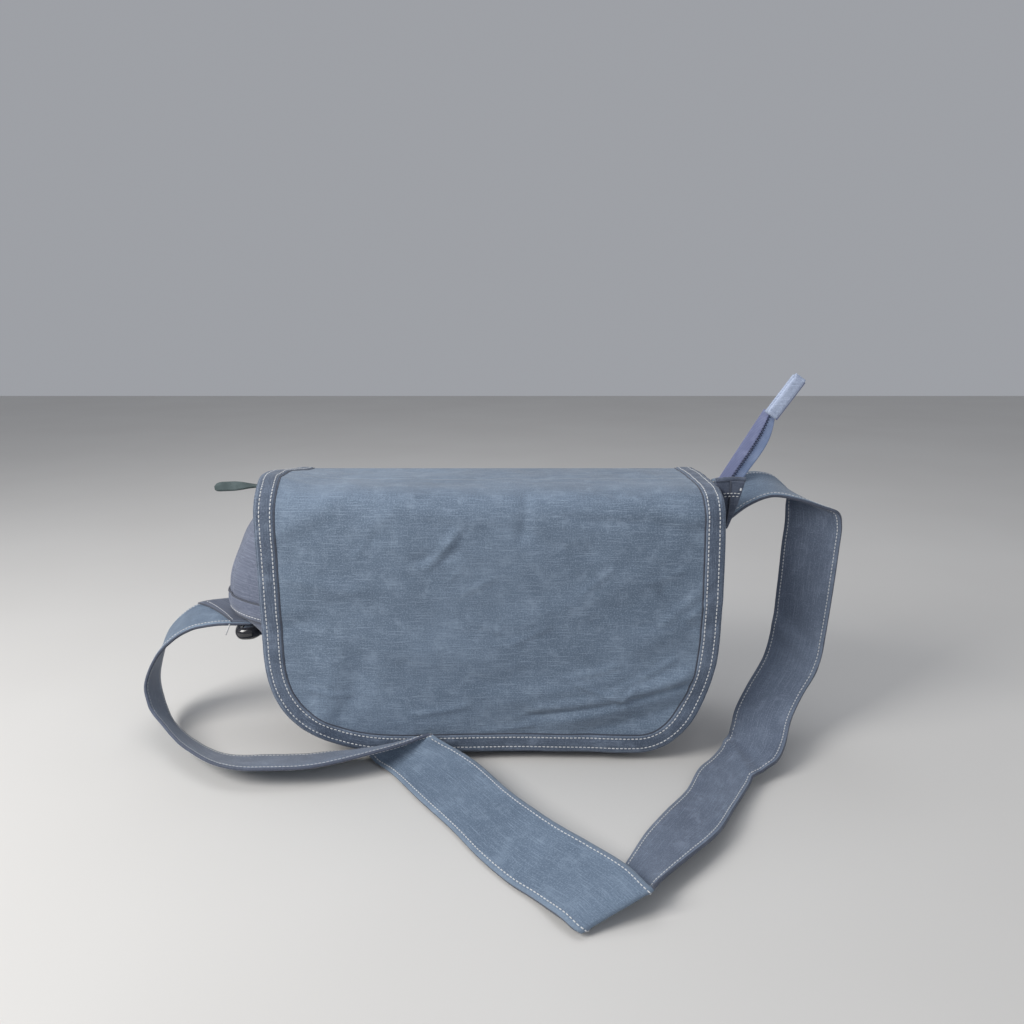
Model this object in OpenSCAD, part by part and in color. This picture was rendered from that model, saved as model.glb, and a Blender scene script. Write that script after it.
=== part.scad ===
// Canvas messenger bag with a full flap, a zipped mouth and a flat shoulder strap.
// Millimetres, +Z up, +Y to the back. The origin is the middle of the base.

/* [Body] */
// Width of the body between the gusset seams
body_w = 342; // [330:1:348]
// Height from the base to the zipped top
body_h = 204; // [202:1:206]
// Radius of the panels' lower corners
corner_r = 84; // [60:1:90]
// Outer face of the back panel, measured back from the middle
back_y = 53; // [51:1:53]
// Outer face of the front panel, measured forward from the middle
front_y = 47; // [45:1:47]
// Thickness of the doubled canvas walls
wall = 2; // [1.5:0.1:2.5]

/* [Flap] */
// Width of the flap
flap_w = 348; // [340:1:350]
// Height of the flap's lower edge above the base
flap_low = 9; // [8:1:20]
// Thickness of each of the flap's two layers
flap_ply = 1.2; // [0.8:0.1:1.2]
// Width of the stitched band round the flap's edge
band_w = 14; // [10:1:20]

/* [Zip] */
// Length of the opening panels along the zip
mouth_l = 316; // [300:1:318]
// Width of one zip tape
tape_w = 12; // [8:1:14]
// Thickness of one row of zip teeth
teeth_t = 2; // [1.6:0.1:2.2]

/* [Strap] */
// Thickness of the strap
strap_t = 2.4; // [1.6:0.1:2.6]

/* [Hidden] */
$fn = 48;

half_w = body_w / 2;
flat_half = half_w - corner_r;
canvas = "slategray";
canvas_light = "lightslategray";
lavender = "lightsteelblue";

// Flap hinges: the back seam, and the fold along the front of the top.
seam_y = 57;
seam_z = 212;
fold_y = -57;
fold_z = 212;
fold_gap = 0.4;

// Zip levels
panel_t = 1.5;
panel_z = body_h - panel_t;
tape_t = 0.8;
hinge_inset = 2.2;
teeth_gap = 0.3;
slider_z = 206.6;
slider_x = -166;
slider_l = 12;

// Shape of the left gusset, which the strap pulls outwards, from base to top.
left_profile = [
  [16, 92], [19, 105], [21, 125], [18, 155], [11, 180], [3, 202]
];
right_profile = [[0, 90], [2.6, 130], [2, 170], [0.5, 202]];

// Both edges of the strap from the slider on the left, round the loop, along the front,
// through two folds and up over the arch to the right gusset: [near edge, far edge].
strap_edges = [
  [[-194, -22, 100], [-194, 24, 104]],
  [[-208, -22, 100], [-209, 24, 105]],
  [[-226, -22, 99], [-230, 24, 104]],
  [[-246, -20, 94], [-258, 25, 98]],
  [[-266, -19, 81], [-279, 24, 80]],
  [[-280, -18, 64], [-291, 24, 52]],
  [[-287, -21, 46], [-295, 22, 32]],
  [[-281, -30, 33], [-289, 13, 17]],
  [[-265, -46, 25], [-276, -4, 6]],
  [[-234, -76, 20], [-246, -34, 3]],
  [[-196, -99, 18], [-212, -57, 3]],
  [[-160, -102, 18], [-172, -58, 3]],
  [[-128, -98, 18], [-146, -58, 4]],
  [[-94, -87, 17], [-128, -60, 7]],
  [[-64, -75, 13], [-112, -63, 9]],
  [[-46, -68, 9], [-98, -61, 6]],
  [[-42, -70, 10], [-90, -67, 2]],
  [[-30, -74, 13], [-76, -82, 2]],
  [[-10, -92, 17], [-50, -118, 2]],
  [[14, -130, 18], [-25, -151, 2]],
  [[32, -154, 19], [-4, -182, 2]],
  [[50, -174, 19], [15, -205, 2]],
  [[67, -189, 18], [30, -220, 3]],
  [[87, -212, 19], [44, -238, 6]],
  [[98, -229, 18], [54, -247, 4]],
  [[101, -223, 15], [61, -236, 2]],
  [[106, -216, 14], [74, -212, 2]],
  [[116, -206, 14], [90, -186, 2]],
  [[132, -191, 14], [107, -156, 2]],
  [[154, -167, 13], [126, -130, 2]],
  [[172, -138, 11], [145, -106, 2]],
  [[187, -114, 10], [160, -80, 4]],
  [[200, -96, 11], [173, -67, 6]],
  [[217, -86, 15], [185, -53, 10]],
  [[227, -73, 20], [194, -40, 17]],
  [[239, -50, 30], [199, -31, 28]],
  [[252, -34, 42], [211, -18, 43]],
  [[267, -24, 62], [230, 1, 62]],
  [[273, -17, 84], [238, 10, 84]],
  [[276, -14, 106], [240, 12, 106]],
  [[278, -13, 134], [241, 12, 134]],
  [[280, -11, 160], [242, 13, 159]],
  [[280, -12, 179], [243, 13, 177]],
  [[275, -16, 191], [243, 14, 190]],
  [[262, -18, 196], [245, 20, 199]],
  [[240, -20, 203], [240, 23, 207]],
  [[219, -21, 206], [231, 22, 214]],
  [[201, -22, 199], [216, 19, 217]],
  [[189, -21, 189], [200, 16, 216]],
  [[179, -20, 178], [180, 14, 212]]
];

function mid(e) = (e[0] + e[1]) / 2;
function unit(v) = v / norm(v);
function last(list) = len(list) - 1;
function heading(i) = mid(strap_edges[min(i + 1, last(strap_edges))])
  - mid(strap_edges[max(i - 1, 0)]);
function facing(i) = unit(cross(heading(i), strap_edges[i][1] - strap_edges[i][0]));
function ring(i) = [
  strap_edges[i][0] - facing(i) * strap_t / 2, strap_edges[i][1] - facing(i) * strap_t / 2,
  strap_edges[i][1] + facing(i) * strap_t / 2, strap_edges[i][0] + facing(i) * strap_t / 2
];
function quarter(cx, cz, rx, rz, from) = [
  for (a = [0:6:90]) [cx + rx * cos(from + a), cz + rz * sin(from + a)]
];
// A flap outline whose corners are quarter ellipses, drawn inside the edge by inset.
function flap_outline(inset) = concat(
  [[-flap_w / 2 + 5 + inset, fold_z - fold_gap]],
  quarter(-flap_w / 2 + 82, flap_low + 92, 82 - inset, 92 - inset, 180),
  quarter(flap_w / 2 - 62, flap_low + 78, 62 - inset, 78 - inset, 270),
  [[flap_w / 2 - 2 - inset, fold_z - fold_gap]]
);

// Stands an XZ drawing up, filling the depth from y0 to y1.
module upright(y0, y1) {
  translate([0, y1, 0]) rotate([90, 0, 0]) linear_extrude(y1 - y0) children();
}

module block(low, high) {
  translate(low) cube(high - low);
}

// A panel with wide rounded lower corners, drawn in XZ.
module panel_shape() {
  translate([-half_w, corner_r]) square([body_w, body_h - 6 - corner_r]);
  translate([-half_w + corner_r, 0]) square([body_w - 2 * corner_r, body_h - 6]);
  for (s = [-1, 1]) translate([s * (half_w - corner_r), corner_r]) circle(corner_r);
}

module front_panel() {
  color(canvas) upright(-front_y, -front_y + wall) panel_shape();
}

module back_panel() {
  color(canvas) upright(back_y - wall, back_y) panel_shape();
}

module bottom_panel() {
  color(canvas) block([-flat_half, -front_y + wall, 0], [flat_half, back_y - wall, wall]);
}

module base_board() {
  color("dimgray") block([-flat_half, -front_y + 4, wall], [flat_half, back_y - 4, 4.5]);
}

// One end of the body: a strip that follows the panels' rounded corner and rises up the side.
module gusset(profile, side) {
  round_corner = [for (a = [0:7.5:90]) [-corner_r + corner_r * sin(a), corner_r - corner_r * cos(a)]];
  inner_corner = [for (a = [90:-7.5:0])
    [-corner_r + (corner_r - wall) * sin(a), corner_r - (corner_r - wall) * cos(a)]];
  inner = [for (i = [last(profile):-1:0]) profile[i] - [wall, 0]];
  line = concat(round_corner, profile, inner, inner_corner);
  upright(-front_y + wall, back_y - wall) polygon([for (p = line) [side * (half_w + p[0]), p[1]]]);
}

module left_gusset() {
  color(lavender) gusset(left_profile, -1);
}

module right_gusset() {
  color(lavender) gusset(right_profile, 1);
}

module left_gusset_hem() {
  color(lavender) upright(-30, 34)
    polygon([[-half_w - 19, 105], [-half_w - 21, 125], [-half_w - 23, 125], [-half_w - 21, 105]]);
}

module right_gusset_tab() {
  color(canvas) upright(-32, -30) polygon([[173.8, 216], [194, 220], [183.5, 182], [173.8, 188]]);
}

// A slip pocket sewn to a wall: closed at the sides and bottom, open at the top.
module slip_pocket(w, low, high, wall_y, face_y) {
  ply = 1.2;
  y0 = min(wall_y, face_y);
  y1 = max(wall_y, face_y);
  way = wall_y > face_y ? ply : -ply;
  difference() {
    block([-w / 2, y0, low], [w / 2, y1, high]);
    translate([0, way, 0]) block([-w / 2 + ply, y0, low + ply], [w / 2 - ply, y1, high + 1]);
  }
}

module front_pocket() {
  color(canvas) slip_pocket(276, 26, 168, -front_y, -front_y - 8);
}

module inner_pocket() {
  color("gray") slip_pocket(190, 60, 150, back_y - wall, back_y - wall - 8);
}

module flap_seam_strip() {
  color(canvas) block([-half_w + 2, back_y, 170], [half_w - 2, back_y + 1.2, 197]);
}

module flap_top_layer(lift) {
  block([-flap_w / 2 + 5, fold_y + fold_gap, seam_z + lift],
        [flap_w / 2 - 2, seam_y, seam_z + lift + flap_ply]);
}

module flap_top_shell() {
  color(canvas_light) flap_top_layer(flap_ply);
}

module flap_top_lining() {
  color(canvas) flap_top_layer(0);
}

module flap_front_layer(lift) {
  upright(fold_y - lift - flap_ply, fold_y - lift) polygon(flap_outline(0));
}

module flap_front_shell() {
  color(canvas_light) flap_front_layer(flap_ply);
}

module flap_front_lining() {
  color(canvas) flap_front_layer(0);
}

module flap_edge_band() {
  band_t = 0.8;
  outer_y = fold_y - 2 * flap_ply;
  color(canvas) upright(outer_y - band_t, outer_y) difference() {
    polygon(flap_outline(0));
    translate([0, 0.01]) polygon(flap_outline(band_w));
    translate([-flap_w / 2 + 5 + band_w, 120]) square([flap_w - 7 - 2 * band_w, 100]);
  }
}

// Half of the zipped mouth: -1 is the front half, 1 the back half.
module zip_panel(side) {
  inner = 4;
  outer = (side < 0 ? front_y : back_y) - wall - hinge_inset;
  translate([-mouth_l / 2, side < 0 ? -outer : inner, panel_z])
    cube([mouth_l, outer - inner, panel_t]);
}

module zip_panel_front() {
  color(canvas) zip_panel(-1);
}

module zip_panel_back() {
  color(canvas) zip_panel(1);
}

module zip_tape(side) {
  inner = 2;
  translate([-mouth_l / 2, side < 0 ? -inner - tape_w : inner, body_h])
    cube([mouth_l, tape_w, tape_t]);
}

module zip_tape_front() {
  color(lavender) zip_tape(-1);
}

module zip_tape_back() {
  color(lavender) zip_tape(1);
}

module zip_teeth(side) {
  inner = teeth_gap / 2;
  translate([-mouth_l / 2, side < 0 ? -teeth_t : inner, body_h - 0.6])
    cube([mouth_l, teeth_t - inner, 1.8]);
}

module zip_teeth_front() {
  color("midnightblue") zip_teeth(-1);
}

module zip_teeth_back() {
  color("midnightblue") zip_teeth(1);
}

module zip_end(side) {
  near = mouth_l / 2 + 0.5;
  far = half_w - 2;
  translate([side < 0 ? -far : near, -front_y + wall, panel_z])
    cube([far - near, front_y + back_y - 2 * wall, panel_t]);
}

module zip_end_left() {
  color(canvas) zip_end(-1);
}

module zip_end_right() {
  color(canvas) zip_end(1);
}

module zip_slider() {
  color("black") {
    block([slider_x - slider_l / 2, -5, slider_z], [slider_x + slider_l / 2, 5, slider_z + 1.6]);
    translate([slider_x - 2, 0, slider_z + 1.6]) cylinder(r = 1.5, h = 2.6);
  }
}

module pull_ring() {
  ring_z = slider_z + 2.2;
  color("dimgray") translate([slider_x - 2, 0, ring_z]) difference() {
    union() {
      cylinder(r = 4, h = 1.6);
      translate([-14, -3, 0]) cube([14, 6, 1.6]);
    }
    translate([0, 0, -1]) cylinder(r = 1.8, h = 4);
    translate([-12.5, -1.5, -1]) cube([5, 3, 4]);
  }
}

module pull_tab() {
  tip = slider_x - 56;
  root = slider_x - 16;
  color("darkslategray") upright(-4, 4)
    polygon([[root, 208.8], [root, 210.4], [tip + 20, 210.2], [tip, 208.2], [tip, 206.6],
             [tip + 20, 208.6]]);
}

module zip_tail() {
  color(lavender) upright(3, 4.2) polygon([[180, 208], [200, 210], [227, 265], [218, 270]]);
}

module zip_tail_teeth() {
  color("midnightblue") upright(1.2, 3) polygon([[188, 212], [190.5, 212], [222, 266.5], [219.5, 268]]);
}

module tail_end_tab() {
  color("lavender") difference() {
    upright(0, 5.4) polygon([[216, 269], [226, 262], [247, 293], [237, 299]]);
    upright(1.2, 4.2) polygon([[206, 262], [220, 250], [229, 267], [218, 274]]);
  }
}

module left_anchor_tab() {
  color(canvas) block([-half_w - 20.5, -21, 93.2], [-half_w - 17.4, 21, 95.6]);
}

module strap_slider() {
  color("black") difference() {
    block([-half_w - 36, -27, 91], [-half_w - 20.5, 27, 97]);
    block([-half_w - 33, -24, 90], [-half_w - 24, 24, 98]);
  }
}

module shoulder_strap() {
  n = len(strap_edges);
  points = [for (i = [0:n - 1]) each ring(i)];
  sides = [for (i = [0:n - 2], k = [0:3]) each [
    [4 * i + k, 4 * i + (k + 1) % 4, 4 * (i + 1) + k],
    [4 * i + (k + 1) % 4, 4 * (i + 1) + (k + 1) % 4, 4 * (i + 1) + k]
  ]];
  b = 4 * (n - 1);
  ends = [[2, 1, 0], [3, 2, 0], [b, b + 1, b + 2], [b, b + 2, b + 3]];
  color(canvas_light) polyhedron(points, concat(sides, ends));
}

front_panel();
back_panel();
bottom_panel();
base_board();
left_gusset();
right_gusset();
left_gusset_hem();
right_gusset_tab();
front_pocket();
inner_pocket();
flap_seam_strip();
flap_top_shell();
flap_top_lining();
flap_front_shell();
flap_front_lining();
flap_edge_band();
zip_panel_front();
zip_panel_back();
zip_tape_front();
zip_tape_back();
zip_teeth_front();
zip_teeth_back();
zip_end_left();
zip_end_right();
zip_slider();
pull_ring();
pull_tab();
zip_tail();
zip_tail_teeth();
tail_end_tab();
left_anchor_tab();
strap_slider();
shoulder_strap();
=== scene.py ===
"""Looks of the canvas messenger bag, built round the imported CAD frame. Metres, +Z up."""
import math

import bmesh
import bpy
import numpy as np
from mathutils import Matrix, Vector, noise


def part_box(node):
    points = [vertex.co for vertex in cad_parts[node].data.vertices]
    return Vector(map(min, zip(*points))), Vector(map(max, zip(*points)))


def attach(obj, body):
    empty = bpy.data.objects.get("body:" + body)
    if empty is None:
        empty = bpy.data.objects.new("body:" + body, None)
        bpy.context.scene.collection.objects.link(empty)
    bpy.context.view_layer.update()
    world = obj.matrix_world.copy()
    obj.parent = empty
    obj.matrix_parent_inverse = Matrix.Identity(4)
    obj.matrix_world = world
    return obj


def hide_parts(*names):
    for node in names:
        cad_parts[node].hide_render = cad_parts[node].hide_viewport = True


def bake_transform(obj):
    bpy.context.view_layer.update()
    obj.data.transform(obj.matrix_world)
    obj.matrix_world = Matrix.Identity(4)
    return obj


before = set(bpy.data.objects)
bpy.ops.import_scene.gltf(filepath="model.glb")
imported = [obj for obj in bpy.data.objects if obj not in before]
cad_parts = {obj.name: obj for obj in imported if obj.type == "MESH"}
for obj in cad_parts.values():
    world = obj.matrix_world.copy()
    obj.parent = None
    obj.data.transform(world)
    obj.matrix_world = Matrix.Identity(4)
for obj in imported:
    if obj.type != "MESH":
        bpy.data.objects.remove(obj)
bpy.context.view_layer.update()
MM = 0.001
STRAP_T = 2.4 * MM

# Both edges of the strap, as in the CAD source, in millimetres: [near edge, far edge].
STRAP_EDGES = [
    [(-194, -22, 100), (-194, 24, 104)],
    [(-208, -22, 100), (-209, 24, 105)],
    [(-226, -22, 99), (-230, 24, 104)],
    [(-246, -20, 94), (-258, 25, 98)],
    [(-266, -19, 81), (-279, 24, 80)],
    [(-280, -18, 64), (-291, 24, 52)],
    [(-287, -21, 46), (-295, 22, 32)],
    [(-281, -30, 33), (-289, 13, 17)],
    [(-265, -46, 25), (-276, -4, 6)],
    [(-234, -76, 20), (-246, -34, 3)],
    [(-196, -99, 18), (-212, -57, 3)],
    [(-160, -102, 18), (-172, -58, 3)],
    [(-128, -98, 18), (-146, -58, 4)],
    [(-94, -87, 17), (-128, -60, 7)],
    [(-64, -75, 13), (-112, -63, 9)],
    [(-46, -68, 9), (-98, -61, 6)],
    [(-42, -70, 10), (-90, -67, 2)],
    [(-30, -74, 13), (-76, -82, 2)],
    [(-10, -92, 17), (-50, -118, 2)],
    [(14, -130, 18), (-25, -151, 2)],
    [(32, -154, 19), (-4, -182, 2)],
    [(50, -174, 19), (15, -205, 2)],
    [(67, -189, 18), (30, -220, 3)],
    [(87, -212, 19), (44, -238, 6)],
    [(98, -229, 18), (54, -247, 4)],
    [(101, -223, 15), (61, -236, 2)],
    [(106, -216, 14), (74, -212, 2)],
    [(116, -206, 14), (90, -186, 2)],
    [(132, -191, 14), (107, -156, 2)],
    [(154, -167, 13), (126, -130, 2)],
    [(172, -138, 11), (145, -106, 2)],
    [(187, -114, 10), (160, -80, 4)],
    [(200, -96, 11), (173, -67, 6)],
    [(217, -86, 15), (185, -53, 10)],
    [(227, -73, 20), (194, -40, 17)],
    [(239, -50, 30), (199, -31, 28)],
    [(252, -34, 42), (211, -18, 43)],
    [(267, -24, 62), (230, 1, 62)],
    [(273, -17, 84), (238, 10, 84)],
    [(276, -14, 106), (240, 12, 106)],
    [(278, -13, 134), (241, 12, 134)],
    [(280, -11, 160), (242, 13, 159)],
    [(280, -12, 179), (243, 13, 177)],
    [(275, -16, 191), (243, 14, 190)],
    [(262, -18, 196), (245, 20, 199)],
    [(240, -20, 203), (240, 23, 207)],
    [(219, -21, 206), (231, 22, 214)],
    [(201, -22, 199), (216, 19, 217)],
    [(189, -21, 189), (200, 16, 216)],
    [(179, -20, 178), (180, 14, 212)]
]
# How far the strap's near edge stands higher than in the CAD source, by station, where it
# leans on the flap's lower edge, and the drape is looser than the motion model allows.
NEAR_LIFT = {13: 4, 14: 11, 15: 18, 16: 16, 17: 7}


# ---------------------------------------------------------------- small tools
def smooth(t):
    t = min(max(t, 0.0), 1.0)
    return t * t * (3 - 2 * t)


def bump(t, centre, width):
    """A soft hill of height 1 at centre that fades over width."""
    return math.exp(-((t - centre) / width) ** 2)


def wave(x, y, z, size, seed):
    """Smooth repeatable noise, about -1 to 1, with features of that size."""
    return noise.noise(Vector((x / size + seed * 7.3, y / size - seed * 3.1, z / size + seed)))


def catmull(points, per):
    """A smooth line through the points, per steps between two of them."""
    pts = [Vector(p) for p in points]
    ext = [2 * pts[0] - pts[1]] + pts + [2 * pts[-1] - pts[-2]]
    out = []
    for i in range(1, len(ext) - 2):
        p0, p1, p2, p3 = ext[i - 1:i + 3]
        d01 = max((p1 - p0).length, 1e-9) ** 0.5
        d12 = max((p2 - p1).length, 1e-9) ** 0.5
        d23 = max((p3 - p2).length, 1e-9) ** 0.5
        m1 = (p2 - p1) + d12 * ((p1 - p0) / d01 - (p2 - p0) / (d01 + d12))
        m2 = (p2 - p1) + d12 * ((p3 - p2) / d23 - (p3 - p1) / (d12 + d23))
        for k in range(per):
            t = k / per
            h1 = 2 * t ** 3 - 3 * t ** 2 + 1
            h2 = t ** 3 - 2 * t ** 2 + t
            h3 = -2 * t ** 3 + 3 * t ** 2
            h4 = t ** 3 - t ** 2
            out.append(h1 * p1 + h2 * m1 + h3 * p2 + h4 * m2)
    out.append(pts[-1])
    return out


def mesh_object(name, verts, faces, material=None, uvs=None):
    data = bpy.data.meshes.new(name)
    data.from_pydata([tuple(v) for v in verts], [], faces)
    data.update()
    for p in data.polygons:
        p.use_smooth = True
    if uvs is not None:
        layer = data.uv_layers.new(name="UVMap")
        for loop in data.loops:
            layer.data[loop.index].uv = uvs[loop.vertex_index]
    obj = bpy.data.objects.new(name, data)
    bpy.context.scene.collection.objects.link(obj)
    if material:
        data.materials.append(material)
    return obj


def normals_of(grid):
    """Unit normals of a grid of points, rows by columns."""
    g = np.array([[tuple(p) for p in row] for row in grid])
    du = np.gradient(g, axis=0)
    dv = np.gradient(g, axis=1)
    n = np.cross(du, dv)
    n /= np.maximum(np.linalg.norm(n, axis=2, keepdims=True), 1e-12)
    return g, n


def cloth_slab(name, grid, thickness, material, uv_grid=None):
    """A closed sheet: the grid of points is its middle, with both faces and a rim round it."""
    g, n = normals_of(grid)
    rows, cols = g.shape[:2]
    front = (g + n * thickness / 2).reshape(-1, 3)
    back = (g - n * thickness / 2).reshape(-1, 3)
    verts = np.vstack([front, back])
    count = rows * cols
    faces = []
    for i in range(rows - 1):
        for j in range(cols - 1):
            a, b = i * cols + j, i * cols + j + 1
            c, d = (i + 1) * cols + j + 1, (i + 1) * cols + j
            faces.append((a, d, c, b))
            faces.append((a + count, b + count, c + count, d + count))
    rim = [(i * cols, (i + 1) * cols) for i in range(rows - 1)]
    rim += [((rows - 1) * cols + j, (rows - 1) * cols + j + 1) for j in range(cols - 1)]
    rim += [((i + 1) * cols + cols - 1, i * cols + cols - 1) for i in range(rows - 1)]
    rim += [(j + 1, j) for j in range(cols - 1)]
    faces += [(a, a + count, b + count, b) for a, b in rim]
    uvs = None
    if uv_grid is not None:
        flat = [tuple(uv) for row in uv_grid for uv in row]
        uvs = flat + flat
    obj = mesh_object(name, verts, faces, material, uvs)
    bm = bmesh.new()
    bm.from_mesh(obj.data)
    bmesh.ops.recalc_face_normals(bm, faces=bm.faces)
    bm.to_mesh(obj.data)
    bm.free()
    return obj


def resample(points, step):
    """Points evenly spaced along a line, with the direction at each."""
    pts = [Vector(p) for p in points]
    lengths = [0.0]
    for a, b in zip(pts, pts[1:]):
        lengths.append(lengths[-1] + (b - a).length)
    count = max(int(lengths[-1] / step), 1)
    out = []
    k = 0
    for i in range(count + 1):
        want = lengths[-1] * i / count
        while k < len(pts) - 2 and lengths[k + 1] < want:
            k += 1
        span = max(lengths[k + 1] - lengths[k], 1e-9)
        t = (want - lengths[k]) / span
        out.append((pts[k].lerp(pts[k + 1], t), (pts[k + 1] - pts[k]).normalized()))
    return out


def stitch_row(name, points, normals, material, pitch=3.2 * MM, size=0.50 * MM):
    """Thread stitches along a line on a surface, each a small flattened bead."""
    line = resample(points, pitch)
    source = [Vector(p) for p in points]
    verts, faces = [], []
    ring, along = 6, (-0.5, -0.34, 0.0, 0.34, 0.5)
    swell = (0.35, 0.85, 1.0, 0.85, 0.35)
    at = 0
    for place, way in line[:-1]:
        while at < len(source) - 1:
            if (source[at + 1] - place).length >= (source[at] - place).length:
                break
            at += 1
        up = Vector(normals[at]).normalized()
        side = way.cross(up).normalized()
        base = len(verts)
        centre = place + way * pitch / 2 + up * size * 0.25
        for s, w in zip(along, swell):
            for k in range(ring):
                a = 2 * math.pi * k / ring
                offset = side * math.cos(a) * size * w + up * math.sin(a) * size * 0.8 * w
                verts.append(centre + way * s * pitch * 0.72 + offset)
        for r in range(len(along) - 1):
            for k in range(ring):
                a, b = base + r * ring + k, base + r * ring + (k + 1) % ring
                faces.append((a, b, b + ring, a + ring))
        faces.append(tuple(base + k for k in reversed(range(ring))))
        end = base + (len(along) - 1) * ring
        faces.append(tuple(end + k for k in range(ring)))
    return mesh_object(name, verts, faces, material)


def tube(name, points, radius, material, sides=8, flat=1.0):
    """A closed round tube along points."""
    pts = [Vector(p) for p in points]
    verts, faces = [], []
    up = Vector((0, 0, 1))
    for i, p in enumerate(pts):
        way = (pts[min(i + 1, len(pts) - 1)] - pts[max(i - 1, 0)]).normalized()
        if abs(way.dot(up)) > 0.95:
            up = Vector((0, 1, 0)) if abs(way.y) < 0.9 else Vector((1, 0, 0))
        side = way.cross(up).normalized()
        up = side.cross(way).normalized()
        for k in range(sides):
            a = 2 * math.pi * k / sides
            verts.append(p + side * math.cos(a) * radius + up * math.sin(a) * radius * flat)
    for i in range(len(pts) - 1):
        for k in range(sides):
            a, b = i * sides + k, i * sides + (k + 1) % sides
            faces.append((a, b, b + sides, a + sides))
    faces.append(tuple(reversed(range(sides))))
    last = (len(pts) - 1) * sides
    faces.append(tuple(range(last, last + sides)))
    uvs = [(p.x, p.z) for p in verts]
    return mesh_object(name, verts, faces, material, uvs)


# ---------------------------------------------------------------- materials
class Nodes:
    """A small helper that adds shader nodes and joins them."""

    def __init__(self, name):
        self.material = bpy.data.materials.new(name)
        self.material.use_nodes = True
        self.tree = self.material.node_tree
        self.shader = self.tree.nodes["Principled BSDF"]

    def add(self, kind, **settings):
        node = self.tree.nodes.new(kind)
        for key, value in settings.items():
            setattr(node, key, value)
        return node

    def join(self, source, target):
        self.tree.links.new(source, target)

    def place(self, coords, stretch):
        """Texture coordinates in metres, multiplied by stretch on each axis."""
        source = self.add("ShaderNodeTexCoord")
        mapping = self.add("ShaderNodeMapping")
        mapping.inputs["Scale"].default_value = stretch
        self.join(source.outputs[coords], mapping.inputs["Vector"])
        return mapping.outputs["Vector"]

    def noise(self, vector, scale, detail=4.0, rough=0.55, warp=0.0):
        tex = self.add("ShaderNodeTexNoise")
        tex.inputs["Scale"].default_value = scale
        tex.inputs["Detail"].default_value = detail
        tex.inputs["Roughness"].default_value = rough
        tex.inputs["Distortion"].default_value = warp
        self.join(vector, tex.inputs["Vector"])
        return tex.outputs["Fac"]

    def bands(self, vector, scale, direction, warp=0.4):
        tex = self.add("ShaderNodeTexWave", bands_direction=direction)
        tex.inputs["Scale"].default_value = scale
        tex.inputs["Distortion"].default_value = warp
        tex.inputs["Detail"].default_value = 1.0
        self.join(vector, tex.inputs["Vector"])
        return tex.outputs["Fac"]

    def ramp(self, fac, low, high, start=0.0, end=1.0):
        """Maps fac between start and end to low..high, numbers."""
        node = self.add("ShaderNodeMapRange", interpolation_type="SMOOTHSTEP")
        node.inputs["From Min"].default_value = start
        node.inputs["From Max"].default_value = end
        node.inputs["To Min"].default_value = low
        node.inputs["To Max"].default_value = high
        self.join(fac, node.inputs["Value"])
        return node.outputs["Result"]

    def math(self, operation, a, b):
        node = self.add("ShaderNodeMath", operation=operation)
        for value, socket in ((a, node.inputs[0]), (b, node.inputs[1])):
            if isinstance(value, (int, float)):
                socket.default_value = value
            else:
                self.join(value, socket)
        return node.outputs["Value"]

    def mix(self, fac, a, b):
        node = self.add("ShaderNodeMix", data_type="RGBA")
        self.join(fac, node.inputs["Factor"])
        for value, socket in ((a, node.inputs["A"]), (b, node.inputs["B"])):
            if isinstance(value, tuple):
                socket.default_value = (*value, 1.0)
            else:
                self.join(value, socket)
        return node.outputs["Result"]

    def bump(self, height, distance, before=None, strength=1.0):
        node = self.add("ShaderNodeBump")
        node.inputs["Strength"].default_value = strength
        node.inputs["Distance"].default_value = distance
        self.join(height, node.inputs["Height"])
        if before is not None:
            self.join(before, node.inputs["Normal"])
        return node.outputs["Normal"]

    def finish(self, color, roughness, normal, **constants):
        self.join(color, self.shader.inputs["Base Color"])
        if isinstance(roughness, (int, float)):
            self.shader.inputs["Roughness"].default_value = roughness
        else:
            self.join(roughness, self.shader.inputs["Roughness"])
        if normal is not None:
            self.join(normal, self.shader.inputs["Normal"])
        for key, value in constants.items():
            self.shader.inputs[key.replace("_", " ")].default_value = value
        return self.material


THREADS = 0.32 / (0.62 * MM)      # waves per metre of the canvas's weave


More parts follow.
